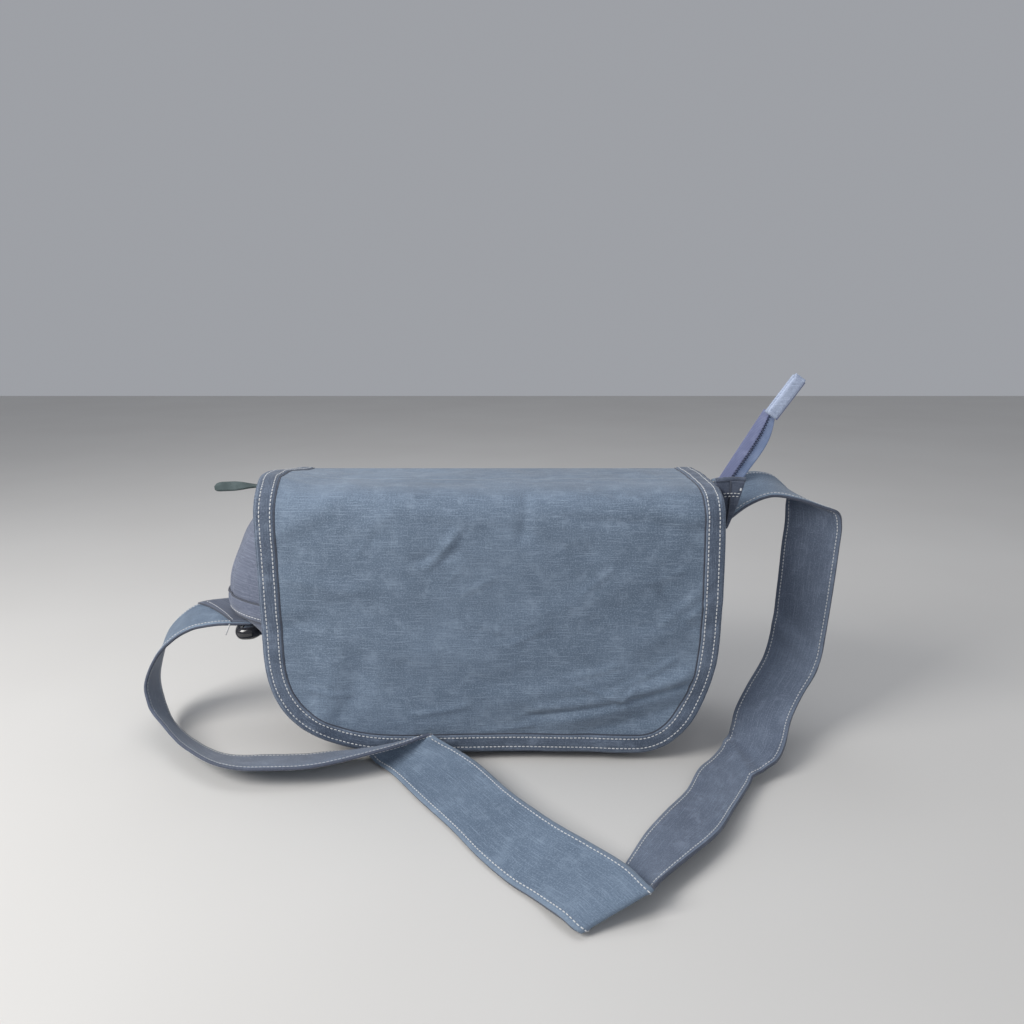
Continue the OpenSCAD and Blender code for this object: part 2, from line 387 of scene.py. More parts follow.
def canvas(name, base, pale, dark, coords="UV", mottle=1.0, scuff=1.0):
    """Waxed cotton canvas: a plain weave with slubs, cloudy wax, pale rubs and worn edges."""
    m = Nodes(name)
    flat = m.place(coords, (1, 1, 1))
    slub_x = m.noise(m.place(coords, (48, 1400, 900)), 1.0, 3.0, 0.6)
    slub_y = m.noise(m.place(coords, (1400, 60, 900)), 1.0, 3.0, 0.6)
    cloud = m.noise(flat, 9.0, 7.0, 0.66, 0.4)
    fine_cloud = m.noise(flat, 75.0, 5.0, 0.68, 0.3)
    grain = m.noise(flat, 900.0, 3.0, 0.7)
    rubs = m.noise(m.place(coords, (30, 95, 60)), 1.0, 9.0, 0.74, 1.3)
    flecks = m.noise(m.place(coords, (110, 190, 150)), 1.0, 8.0, 0.80, 2.2)
    edge = m.add("ShaderNodeNewGeometry").outputs["Pointiness"]
    color = m.mix(m.ramp(cloud, 0.0, 1.0, 0.34, 0.70), dark, base)
    # Each layer: what drives it, its share at the two ends of the drive's range, and its tint.
    for drive, low, high, start, end, tint in (
        (fine_cloud, 0.0, 0.55 * mottle, 0.46, 0.80, pale),
        (rubs, 0.0, 0.75 * scuff, 0.60, 0.80, pale),
        (slub_x, 0.50, 0.0, 0.30, 0.50, dark),
        (slub_y, 0.36, 0.0, 0.30, 0.50, dark),
        (slub_x, 0.0, 0.52, 0.54, 0.70, pale),
        (slub_y, 0.0, 0.30, 0.58, 0.74, pale),
        (grain, 0.0, 0.50, 0.44, 0.72, pale),
        (flecks, 0.0, 0.85 * scuff, 0.63, 0.74, tuple(min(c * 1.25, 1) for c in pale)),
        (edge, 0.0, 0.45, 0.52, 0.60, pale),
    ):
        color = m.mix(m.ramp(drive, low, high, start, end), color, tint)
    warp = m.bands(flat, THREADS, "X")
    weft = m.bands(flat, THREADS, "Y")
    weave = m.math("MULTIPLY", warp, weft)
    height = m.math("ADD", m.math("MULTIPLY", weave, 0.6), m.math("MULTIPLY", slub_x, 0.7))
    normal = m.bump(cloud, 1.1 * MM, strength=0.5)
    normal = m.bump(fine_cloud, 0.45 * MM, normal, 0.55)
    normal = m.bump(height, 0.14 * MM, normal, 0.8)
    rough = m.ramp(cloud, 0.62, 0.86, 0.3, 0.7)
    return m.finish(color, rough, normal, Sheen_Weight=0.18, Sheen_Roughness=0.45,
                    Specular_IOR_Level=0.32)


def thread_material(name, color):
    m = Nodes(name)
    twist = m.bands(m.place("Object", (1, 1, 1)), 900.0, "DIAGONAL", 0.5)
    shade = m.mix(twist, tuple(c * 0.72 for c in color), color)
    return m.finish(shade, 0.7, m.bump(twist, 0.1 * MM, strength=0.5), Sheen_Weight=0.2)


def tape_material(name, base, pale):
    """Zip tape: a fine herringbone twill."""
    m = Nodes(name)
    flat = m.place("Object", (1, 1, 1))
    twill = m.bands(flat, 420.0, "DIAGONAL", 0.3)
    cloud = m.noise(flat, 120.0, 4.0)
    color = m.mix(m.ramp(cloud, 0.0, 0.6, 0.35, 0.7), base, pale)
    color = m.mix(m.ramp(twill, 0.35, 0.0, 0.1, 0.6), color, tuple(c * 0.45 for c in base))
    return m.finish(color, 0.72, m.bump(twill, 0.18 * MM, strength=0.7), Sheen_Weight=0.25)


def leather_material(name, base, pale):
    m = Nodes(name)
    flat = m.place("Object", (1, 1, 1))
    grain = m.noise(flat, 900.0, 5.0, 0.7)
    cloud = m.noise(flat, 90.0, 4.0)
    color = m.mix(m.ramp(cloud, 0.0, 1.0, 0.35, 0.7), base, pale)
    color = m.mix(m.ramp(grain, 0.4, 0.0, 0.3, 0.55), color, tuple(c * 0.5 for c in base))
    return m.finish(color, 0.82, m.bump(grain, 0.2 * MM, strength=0.6), Sheen_Weight=0.12)


def hard_material(name, base, roughness, metal=0.0, coat=0.0):
    m = Nodes(name)
    flat = m.place("Object", (1, 1, 1))
    grain = m.noise(flat, 500.0, 4.0, 0.6)
    smear = m.noise(flat, 60.0, 4.0, 0.6)
    bright = tuple(min(c * 1.6 + 0.004, 1) for c in base)
    color = m.mix(m.ramp(smear, 0.0, 1.0, 0.4, 0.7), base, bright)
    rough = m.ramp(smear, roughness * 0.8, roughness * 1.35, 0.3, 0.7)
    return m.finish(color, rough, m.bump(grain, 0.05 * MM, strength=0.25), Metallic=metal,
                    Coat_Weight=coat)


flap_canvas = canvas("flap_canvas", (0.158, 0.211, 0.286), (0.315, 0.395, 0.500),
                     (0.098, 0.138, 0.196), mottle=0.85, scuff=1.05)
band_canvas = canvas("band_canvas", (0.104, 0.134, 0.188), (0.225, 0.278, 0.365),
                     (0.056, 0.076, 0.116), mottle=1.3, scuff=1.3)
strap_canvas = canvas("strap_canvas", (0.138, 0.188, 0.260), (0.262, 0.338, 0.435),
                      (0.086, 0.124, 0.182), scuff=0.8)
strap_under = canvas("strap_under", (0.148, 0.186, 0.254), (0.245, 0.295, 0.385),
                     (0.084, 0.108, 0.160), mottle=1.2, scuff=1.1)
# Painted shade: the strap's rim is a much darker canvas, standing for the shadow along the strap's
# edge.
strap_rim_shade = canvas("strap_rim_shade", (0.060, 0.072, 0.110), (0.120, 0.140, 0.190), (0.030, 0.038, 0.060))
# Painted shade: the strap's turned end gets a darker canvas, standing for the shadow it lies in.
strap_turned_shade = canvas("strap_turned_shade", (0.092, 0.108, 0.152), (0.165, 0.190, 0.245),
                      (0.055, 0.066, 0.098))
gusset_canvas = canvas("gusset_canvas", (0.131, 0.151, 0.211), (0.228, 0.257, 0.336),
                       (0.074, 0.090, 0.138))
dark_canvas = canvas("dark_canvas", (0.075, 0.092, 0.136), (0.150, 0.175, 0.235),
                     (0.042, 0.054, 0.084))
lining_canvas = canvas("lining_canvas", (0.085, 0.100, 0.130), (0.130, 0.150, 0.185),
                       (0.055, 0.066, 0.090), scuff=0.3)
cap_canvas = canvas("tail_tab_canvas", (0.400, 0.465, 0.610), (0.580, 0.660, 0.840),
                    (0.280, 0.330, 0.450), "Object", scuff=0.3)
stitch_thread = thread_material("stitch_thread", (0.70, 0.715, 0.73))
dark_thread = thread_material("seam_thread", (0.055, 0.065, 0.095))
zip_tape = tape_material("zip_tape_twill", (0.195, 0.280, 0.540), (0.370, 0.490, 0.790))
# Shaded and lit copies of the zip tail's tape: the darker one is painted shade for the half that
# the twist turns away from the light, the brighter one painted light for the other half.
tail_shaded = tape_material("tail_tape_shade", (0.170, 0.195, 0.345), (0.280, 0.315, 0.490))
tail_bright = tape_material("tail_tape_bright", (0.250, 0.330, 0.540), (0.390, 0.480, 0.700))
suede = leather_material("pull_suede", (0.038, 0.060, 0.062), (0.074, 0.104, 0.106))
black_gloss = hard_material("black_gloss", (0.010, 0.010, 0.013), 0.16, coat=0.6)
black_metal = hard_material("dark_metal", (0.030, 0.034, 0.040), 0.35, metal=0.8)
coil_nylon = hard_material("coil_nylon", (0.020, 0.028, 0.070), 0.45)
board_black = hard_material("board_black", (0.030, 0.030, 0.034), 0.7)


# ---------------------------------------------------------------- camera, floor, lights
CAMERA_PLACE = (16.5 * MM, -630 * MM, 341 * MM)
CAMERA_TILT = 13.63         # degrees below level
CAMERA_LENS = 28.1          # mm, on a 36 mm sensor
# Name, place, what it points at, size, power and tint of each soft light.
LIGHTS = (
    ("key", (-0.90, -0.62, 0.88), (-0.05, 0, 0.1), 0.6, 14.5, (1.0, 0.985, 0.96)),
    ("top", (-0.1, 0.3, 1.6), (0, 0, 0.1), 1.2, 6.5, (0.95, 0.97, 1.0)),
    ("fill", (1.3, -1.3, 0.9), (0, 0, 0.1), 1.4, 4.0, (0.92, 0.95, 1.0)),
)


def make_stage():
    camera_data = bpy.data.cameras.new("camera")
    camera_data.sensor_width = 36.0
    camera_data.lens = CAMERA_LENS
    camera = bpy.data.objects.new("camera", camera_data)
    bpy.context.scene.collection.objects.link(camera)
    camera.location = CAMERA_PLACE
    camera.rotation_euler = (math.radians(90 - CAMERA_TILT), 0, 0)
    bpy.context.scene.camera = camera

    floor = mesh_object("floor", [(-3, -2, 0), (3, -2, 0), (3, 3, 0), (-3, 3, 0)], [(0, 1, 2, 3)])
    m = Nodes("floor_paper")
    soft = m.noise(m.place("Object", (1, 1, 1)), 3.0, 2.0)
    shade = m.mix(soft, (0.60, 0.585, 0.565), (0.66, 0.65, 0.63))
    floor.data.materials.append(m.finish(shade, 0.85, None))

    world = bpy.data.worlds.new("studio")
    world.use_nodes = True
    background = world.node_tree.nodes["Background"]
    background.inputs["Color"].default_value = (0.90, 0.93, 1.0, 1)
    background.inputs["Strength"].default_value = 0.38
    bpy.context.scene.world = world
    for name, place, target, size, power, tint in LIGHTS:
        light = bpy.data.lights.new(name, "AREA")
        light.size = size
        light.energy = power
        light.color = tint
        lamp = bpy.data.objects.new(name, light)
        lamp.location = place
        way = Vector(target) - Vector(place)
        lamp.rotation_euler = way.to_track_quat("-Z", "Y").to_euler()
        bpy.context.scene.collection.objects.link(lamp)
    bpy.context.scene.view_settings.view_transform = "Standard"


make_stage()


# ---------------------------------------------------------------- the flap's surface
# Profile of the flap from the back seam over the soft shoulder and down the front, (y, z) in mm.
FLAP_PROFILE = [
    (57, 212.8), (46, 213.4), (30, 214.2), (8, 214.9), (-14, 214.9), (-36, 214.2), (-49, 210.6),
    (-56.6, 201.5), (-59, 186), (-59.6, 160), (-59.2, 120), (-59.2, 80), (-59.8, 45), (-59.4, 9)
]
profile_line = catmull([(0, y * MM, z * MM) for y, z in FLAP_PROFILE], 14)
profile_at = [0.0]
for first, second in zip(profile_line, profile_line[1:]):
    profile_at.append(profile_at[-1] + (second - first).length)
FLAP_LENGTH = profile_at[-1]
SHOULDER_S = 0.125

# Creases: start x, z, end x, z, height, width, in mm. A negative height is a valley.
FLAP_CREASES = [
    (-44, 163, -24, 186, 0.9, 3.6), (-52, 166, -30, 170, -1.0, 4), (-14, 196, -46, 204, 0.9, 6),
    (104, 206, 150, 196, 1.6, 7), (96, 212, 130, 190, -1.2, 5), (60, 34, 168, 78, 1.9, 9),
    (82, 24, 158, 50, -1.5, 7), (10, 52, 92, 66, 1.1, 10), (-126, 44, -118, 92, 1.2, 10),
    (-110, 46, -100, 78, -0.7, 9), (-150, 150, -104, 141, 1.2, 7), (-160, 184, -120, 206, 1.0, 8),
    (40, 120, 112, 150, 0.9, 12), (-70, 96, 0, 84, 0.9, 14), (120, 100, 172, 132, 1.2, 9),
    (-174, 110, -138, 116, -0.9, 7), (20, 186, 70, 170, -0.8, 8), (-90, 190, -60, 210, 0.7, 6),
    (-42, 164, -24, 186, 1.0, 1.3), (-30, 150, -20, 160, 0.5, 1.0), (108, 178, 126, 166, 0.6, 1.2),
    (132, 190, 150, 178, 0.7, 1.4), (118, 148, 146, 158, 0.5, 1.6), (60, 70, 96, 80, 0.6, 2.2),
    (96, 60, 140, 84, 0.7, 2.4), (-140, 60, -112, 56, 0.5, 2.0), (-60, 40, -20, 46, 0.5, 2.2),
    (-100, 168, -88, 186, 0.5, 1.4), (20, 100, 44, 112, 0.5, 2.0), (-16, 120, 6, 108, 0.5, 1.8),
    (70, 140, 92, 158, 0.6, 1.6), (150, 120, 168, 136, 0.7, 1.8), (-6, 24, 30, 30, 0.6, 2.4),
    (34, 36, 150, 62, -1.4, 3.2), (38, 43, 150, 70, 1.1, 4.0), (129, 140, 153, 112, -1.2, 3.0),
    (66, 66, 105, 52, 0.9, 1.8), (98, 50, 112, 63, 0.8, 1.5), (25, 186, 28, 212, -0.9, 5.0),
    (60, 197, 110, 193, -0.8, 4.0), (134, 118, 168, 150, 0.8, 3.5), (-20, 140, 4, 152, 0.5, 1.5)
]


def profile(s):
    """The flap's profile at arc length s: point and outward normal, both without x."""
    k = min(max(int(np.searchsorted(profile_at, s)) - 1, 0), len(profile_at) - 2)
    t = (s - profile_at[k]) / (profile_at[k + 1] - profile_at[k])
    point = profile_line[k].lerp(profile_line[k + 1], t)
    ahead = profile_line[min(k + 2, len(profile_line) - 1)] - profile_line[max(k - 1, 0)]
    way = ahead.normalized()
    return point, Vector((0, way.z, -way.y))


def crease(x, z, x0, z0, x1, z1, height, width):
    """Height of one soft crease at x, z, all in mm."""
    dx, dz = x1 - x0, z1 - z0
    long = math.hypot(dx, dz)
    along = ((x - x0) * dx + (z - z0) * dz) / long
    across = ((x - x0) * dz - (z - z0) * dx) / long
    across += 0.10 * (along - long / 2) ** 2 / long
    over = max(-along, along - long, 0)
    return height * math.exp(-(across / width) ** 2 - (over / (1.6 * width)) ** 2)


def flap_relief(x, s):
    """How far the flap stands out of its profile, in metres."""
    xm = x / MM
    zm = (FLAP_LENGTH - s) / MM + 9
    height = 2.1 * wave(xm, zm, 0, 95, 1) + 1.1 * wave(xm, zm, 0, 38, 2)
    height += 0.34 * wave(xm * 0.6, zm * 1.7, 0, 13, 3) + 0.16 * wave(xm, zm, 0, 5.5, 4)
    # The doubled band along the edge stays smoother than the single cloth inside it.
    inside = smooth((170 - abs(xm)) / 24) * smooth((zm - 16) / 22)
    height += (0.75 + 1.0 * inside) * sum(crease(xm, zm, *c) for c in FLAP_CREASES)
    if s < SHOULDER_S:
        height += 0.9 * wave(xm, zm, 0, 30, 5) * smooth((SHOULDER_S - s) / 0.05)
    height += 6.5 * smooth((-xm - 126) / 48) * bump(s, 0.078, 0.034)
    lowest = -2.0 - 20 * smooth((s - 0.085) / 0.03)
    return max(height, lowest) * MM * smooth(s / 0.02)


def flap_sides(s):
    """Left and right edge of the flap at arc length s, above the rounded corners."""
    left = -0.1700 - 0.0065 * smooth(s / 0.05) + 0.0035 * smooth((s - 0.075) / 0.035)
    right = 0.1727 + 0.0013 * smooth((s - 0.10) / 0.09)
    return left, right


def corner_inset(z, radius_x, radius_z, power):
    """How far a rounded lower corner has come in at height z over the lower edge."""
    if z >= radius_z:
        return 0.0
    t = 1 - z / radius_z
    return radius_x * (1 - (1 - t ** power) ** (1 / power))


def flap_edges(s):
    """Left and right edge of the flap at arc length s, with the rounded corners."""
    left, right = flap_sides(s)
    over_edge = FLAP_LENGTH - s
    left += corner_inset(over_edge, 0.108, 0.082, 2.5)
    right -= corner_inset(over_edge, 0.060, 0.100, 2.12)
    return left, right


def flap_point(x, s, lift=0.0):
    """The flap's surface at x and arc length s, or lift over it."""
    point, out = profile(min(max(s, 0.0), FLAP_LENGTH))
    return Vector((x, point.y, point.z)) + out * (flap_relief(x, s) + lift)


def flap_grid(s0, s1, rows, cols):
    """The cloth from s0 to s1, with its rows closer together near the flap's lower edge."""
    grid, uvs = [], []
    for i in range(rows + 1):
        t = i / rows
        if s1 >= FLAP_LENGTH:
            t = 1 - (1 - t) ** 1.5
        s = s0 + (s1 - s0) * t
        left, right = flap_edges(s)
        row, uv = [], []
        for j in range(cols + 1):
            x = left + (right - left) * j / cols
            row.append(flap_point(x, s))
            uv.append((x, s))
        grid.append(row)
        uvs.append(uv)
    return grid, uvs


SPLIT_S = 0.058             # how far from the back seam the front cloth starts
BAND_W = 13.6 * MM
BAND_STEPS = 12
BAND_ROWS = (("outer", 3.1 * MM), ("inner", 11.2 * MM))     # rows of stitches, from the edge
BAND_SEAM = 14.1 * MM
SEAM_R = 0.55 * MM
EDGE_R = 1.55 * MM


def bend_front(obj):
    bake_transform(obj)


def bend_back(obj):
    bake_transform(obj)


def flap_piece(piece, bend, *nodes):
    """Says which CAD nodes a piece of the flap stands for, and passes the piece to bend."""
    if nodes:
        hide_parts(*nodes)
    bend(piece)


def line_inside_material(obj, lining, rim=None):
    """Gives a slab's second side the lining's material, and its rim one of its own if asked."""
    obj.data.materials.append(lining)
    if rim:
        obj.data.materials.append(rim)
    split = len(obj.data.vertices) // 2
    for p in obj.data.polygons:
        if all(v >= split for v in p.vertices):
            p.material_index = 1
        elif rim and not all(v < split for v in p.vertices):
            p.material_index = 2


def make_flap():
    grid, uvs = flap_grid(SPLIT_S, FLAP_LENGTH, 150, 150)
    front = cloth_slab("flap_front_cloth", grid, 2.0 * MM, flap_canvas, uvs)
    line_inside_material(front, lining_canvas)
    flap_piece(front, bend_front, "flap_front_shell", "flap_front_lining")
    grid, uvs = flap_grid(0.0, SPLIT_S, 40, 150)
    top = cloth_slab("flap_top_cloth", grid, 2.0 * MM, flap_canvas, uvs)
    line_inside_material(top, lining_canvas)
    flap_piece(top, bend_back, "flap_top_shell", "flap_top_lining")


def flap_outline(s_start):
    """The flap's edge from the upper left round to the upper right: x, s, inward x, inward s."""
    left_side, right_side = [], []
    steps = 260
    for i in range(steps + 1):
        t = i / steps
        s = s_start + (FLAP_LENGTH - s_start) * (1 - (1 - t) ** 2.2)
        left, right = flap_edges(s)
        left_side.append((left, s))
        right_side.append((right, s))
    width = right_side[-1][0] - left_side[-1][0]
    bottom = [(left_side[-1][0] + width * k / 60, FLAP_LENGTH) for k in range(1, 60)]
    line = left_side + bottom + right_side[::-1]
    even = resample([(x, s, 0) for x, s in line], 1.6 * MM)
    out = []
    for i, (p, _) in enumerate(even):
        a = even[max(i - 3, 0)][0]
        b = even[min(i + 3, len(even) - 1)][0]
        way = (b - a).normalized()
        out.append((p.x, p.y, way.y, -way.x))
    return out


def band_lift(t):
    """How far the band stands over the cloth, t across it from the flap's edge."""
    rim = math.sqrt(max(0.0, 1 - max(0.0, (t - 0.90) / 0.10) ** 2))
    return 1.35 * MM * min(1.0, rim + 0.25) + 0.35 * MM * math.sin(math.pi * t)


def make_band():
    """The band round the flap's front, with its stitches, its seam and the rolled edge."""
    outline = flap_outline(SPLIT_S + 0.001)
    grid, uvs = [], []
    run = 0.0
    for i, (x, s, nx, ns) in enumerate(outline):
        if i:
            run += math.hypot(x - outline[i - 1][0], s - outline[i - 1][1])
        row, uv = [], []
        for k in range(BAND_STEPS + 1):
            t = k / BAND_STEPS
            w = BAND_W * t
            groove = sum(bump(w, inset, 1.1 * MM) for _, inset in BAND_ROWS)
            lift = band_lift(t) - 0.30 * MM * groove + 0.22 * MM * wave(run / MM, w / MM, 0, 7, 8)
            row.append(flap_point(x + nx * w, s + ns * w, lift))
            uv.append((run, w))
        grid.append(row)
        uvs.append(uv)
    band = cloth_slab("flap_band_cloth", grid, 1.0 * MM, band_canvas, uvs)
    flap_piece(band, bend_front, "flap_edge_band")

    def line(inset, lift):
        return [flap_point(x + nx * inset, s + ns * inset, lift) for x, s, nx, ns in outline]

    for name, inset in BAND_ROWS:
        ups = [profile(min(max(s + ns * inset, 0), FLAP_LENGTH))[1] for _, s, _, ns in outline]
        row = stitch_row("flap_stitches_" + name, line(inset, 1.72 * MM), ups, stitch_thread)
        flap_piece(row, bend_front)
    flap_piece(tube("flap_band_seam", line(BAND_SEAM, 0.95 * MM), SEAM_R, dark_thread), bend_front)
    flap_piece(tube("flap_rolled_edge", line(0.0, 0.2 * MM), EDGE_R, band_canvas), bend_front)


def make_top_band(label, sign):
    """The band's run over the flap's top, from the back seam to where the front piece starts."""
    stations = [(SPLIT_S + 0.0015) * i / 44 for i in range(45)]
    shares = [k / BAND_STEPS for k in range(BAND_STEPS + 1)]

    def point(s, inset, lift):
        edge = flap_sides(s)[0 if sign < 0 else 1]
        return flap_point(edge - sign * inset, s, lift)

    grid = [[point(s, BAND_W * t, band_lift(t)) for t in shares] for s in stations]
    uvs = [[(s, BAND_W * t) for t in shares] for s in stations]
    ups = [profile(s)[1] for s in stations]
    pieces = [cloth_slab("flap_top_band_" + label, grid, 1.0 * MM, band_canvas, uvs)]
    for name, inset in BAND_ROWS:
        line = [point(s, inset, 1.85 * MM) for s in stations]
        pieces.append(stitch_row(f"flap_top_stitches_{name}_{label}", line, ups, stitch_thread))
    for name, inset, lift, radius, material in (
        ("seam", BAND_SEAM, 0.95 * MM, SEAM_R, dark_thread),
        ("edge", 0.0, 0.2 * MM, EDGE_R, band_canvas),
    ):
        line = [point(s, inset, lift) for s in stations]
        pieces.append(tube(f"flap_top_{name}_{label}", line, radius, material))
    for piece in pieces:
        flap_piece(piece, bend_back)


make_flap()
make_band()
make_top_band("left", -1)
make_top_band("right", 1)


# ---------------------------------------------------------------- the strap
STRAP_PER = 8               # steps between two stations
STRAP_COLS = 14
STRAP_SEAM = 0.066          # the stitches' distance from each edge, as a share of the width
# Creases across the strap: where, in stations, slant from edge to edge, height in mm, width.
STRAP_CREASES = (
    (31.6, 1.6, 1.5, 0.16), (32.2, 1.6, -1.2, 0.24),
    (37.0, 1.3, 1.2, 0.22), (37.6, 1.3, -0.8, 0.30),
)


def strap_rails():
    """The strap's near and far edge as smooth lines, in metres."""
    near, far = [], []
    for i, (a, b) in enumerate(STRAP_EDGES):
        lift = NEAR_LIFT.get(i, 0)
        near.append(Vector((a[0], a[1], a[2] + lift)) * MM)
        far.append(Vector(b) * MM)
    return catmull(near, STRAP_PER), catmull(far, STRAP_PER)


def strap_dip(i, t, run_mm):
    """How far the cloth stands out of the flat strap at row i, t across it, in mm."""
    dip = 0.45 * wave(run_mm, t * 46, 0, 30, 11) + 0.18 * wave(run_mm, t * 46, 0, 9, 12)
    dip -= 0.4 * (bump(t, STRAP_SEAM, 0.03) + bump(t, 1 - STRAP_SEAM, 0.03))
    for at, slant, height, width in STRAP_CREASES:
        dip += height * bump(i / STRAP_PER, at + slant * t, width)
    return dip


def make_strap(near, far):
    grid, uvs = [], []
    run = 0.0
    for i, (a, b) in enumerate(zip(near, far)):
        if i:
            run += ((a + b) / 2 - (near[i - 1] + far[i - 1]) / 2).length
        shares = [k / STRAP_COLS for k in range(STRAP_COLS + 1)]
        grid.append([a.lerp(b, t) for t in shares])
        uvs.append([(run, (a - b).length * (t - 0.5)) for t in shares])
    _, n = normals_of(grid)
    for i, row in enumerate(grid):
        for k, point in enumerate(row):
            dip = strap_dip(i, k / STRAP_COLS, uvs[i][0][0] / MM)
            dip *= smooth((point.z / MM - 1.3) / 2.0)
            row[k] = point + Vector(n[i][k]) * dip * MM
    strap = cloth_slab("strap_cloth", grid, STRAP_T, strap_under, uvs)
    # The strap's second side gets strap_canvas, and its rim the darker canvas with painted shade.
    line_inside_material(strap, strap_canvas, strap_rim_shade)
    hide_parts("shoulder_strap")
    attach(strap, "root")
    middle = [(a + b) / 2 for a, b in zip(near, far)]
    length = sum((q - p).length for p, q in zip(middle, middle[1:]))
    _, n = normals_of(grid)
    for side_name, face in (("up", -1), ("under", 1)):
        for edge_name, t in (("near", STRAP_SEAM), ("far", 1 - STRAP_SEAM)):
            at = t * STRAP_COLS
            j = int(at)
            ups = [Vector(n[i][j]) * face for i in range(len(grid))]
            points = [row[j].lerp(row[j + 1], at - j) + up * STRAP_T * 0.50
                      for row, up in zip(grid, ups)]
            row = stitch_row(f"strap_stitches_{edge_name}_{side_name}", points, ups, stitch_thread,
                             2.9 * MM, 0.42 * MM)
            row.parent = strap
    tuple(middle[0])
    [tuple(p) for p in middle[::2]]


near_rail, far_rail = strap_rails()
make_strap(near_rail, far_rail)


# ---------------------------------------------------------------- pieces made from a surface
def spot(x, y, z):
    return Vector((x, y, z)) * MM


def sweep(steps, point):
    """The points that point gives for 0 to 1, in that many steps."""
    return [point(k / steps) for k in range(steps + 1)]


def settle(piece, slot, body="root", node=None):
    """Says which CAD node a piece stands for and the body it moves with; slot, its finish, is not
    used.
    """
    if node:
        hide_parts(node)
    if body:
        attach(piece, body)
    return piece


def surface(name, rows, cols, where, thickness, material, slot, body="root", node=None,
            lining=None):
    """A closed sheet over where(u, v) in mm, u along the rows, v across, each 0 to 1."""
    grid = [[spot(*where(i / rows, j / cols)) for j in range(cols + 1)] for i in range(rows + 1)]
    uvs = [[(p.x + p.y, p.z) for p in row] for row in grid]
    obj = cloth_slab(name, grid, thickness * MM, material, uvs)
    if lining:
        line_inside_material(obj, lining)
    return settle(obj, slot, body, node)


def stitches(name, points, up, slot, body="root", material=stitch_thread, pitch=3.2, size=0.5):
    """Stitches along points in mm; up is the surface's outward direction."""
    line = [spot(*p) for p in points]
    row = stitch_row(name, line, [Vector(up)] * len(line), material, pitch * MM, size * MM)
    settle(row, slot, body)


def cord_line(name, points, radius, material, slot, body="root", node=None, sides=8, flat=1.0):
    """A tube along points in mm."""
    piece = tube(name, [spot(*p) for p in points], radius * MM, material, sides, flat)
    settle(piece, slot, body, node)


def between(pairs, at):
    """Smoothed value at a position in a list of (position, value) pairs."""
    if at <= pairs[0][0]:
        return pairs[0][1]
    for (a, va), (b, vb) in zip(pairs, pairs[1:]):
        if at <= b:
            return va + (vb - va) * smooth((at - a) / (b - a))
    return pairs[-1][1]


def along_path(path, at):
    """The place at a share of a path of straight runs, each run counting the same."""
    runs = len(path) - 1
    k = min(int(at * runs), runs - 1)
    f = at * runs - k
    (a, b), (c, d) = path[k], path[k + 1]
    return a + (c - a) * f, b + (d - b) * f


def soft_line(pairs):
    """A smooth function through (position, value) pairs."""
    line = catmull([(a, b, 0) for a, b in pairs], 10)
    xs, ys = [p.x for p in line], [p.y for p in line]
    return lambda at: float(np.interp(at, xs, ys))


# ---------------------------------------------------------------- the body
# Sizes of the body in mm, from the CAD's panels.
panel_low, panel_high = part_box("front_panel")
BODY_W = panel_high.x / MM          # half the panels' width
PANEL_Z = panel_high.z / MM
FRONT = panel_low.y / MM
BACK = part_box("back_panel")[1].y / MM
CORNER_R = 84.0
FLAT_W = BODY_W - CORNER_R
MID_Y = (FRONT + BACK) / 2
HALF_D = (BACK - FRONT) / 2
GUSSET_ARC = CORNER_R * math.pi / 2
GUSSET_RUN = GUSSET_ARC + PANEL_Z - CORNER_R
# How far the gussets stand out beyond the panels' edge, by height, in mm.
LEFT_BULGE = [(0, 0), (40, 5), (76, 9), (88, 13), (98, 23), (105, 34), (110, 41), (118, 44),
              (128, 44), (140, 42), (152, 37.5), (164, 32), (176, 26), (188, 17), (198, 8)]
RIGHT_BULGE = [(0, 0), (60, 4), (120, 6), (170, 5), (198, 1)]


def panel_half(z):
    """Half the panels' width at height z, narrowing over the rounded corners."""
    if z >= CORNER_R:
        return BODY_W
    return FLAT_W + math.sqrt(max(CORNER_R ** 2 - (CORNER_R - z) ** 2, 0.0))


def panel_row(u):
    return PANEL_Z * u ** 1.6


def front_where(u, v):
    z = panel_row(u)
    x = panel_half(z) * (1 - 2 * v)
    edge = 1 - abs(2 * v - 1) ** 6
    return x, FRONT + 1 + 0.5 * wave(x, z, 0, 60, 21) * edge, z + 0.3 * (1 - u)


def back_where(u, v):
    z = panel_row(u)
    x = panel_half(z) * (2 * v - 1)
    edge = (1 - abs(2 * v - 1) ** 4) * math.sin(math.pi * min(u * 1.1, 1)) ** 0.7
    sag = edge * (3.2 + 1.3 * wave(x, z, 0, 80, 22) + 0.5 * wave(x, z, 0, 26, 23))
    return x, BACK - 1 + sag, z + 1.1 * (1 - u)


def bottom_where(u, v):
    return FLAT_W * (1 - 2 * u), MID_Y + (HALF_D - 0.6) * (2 * v - 1), 1.2


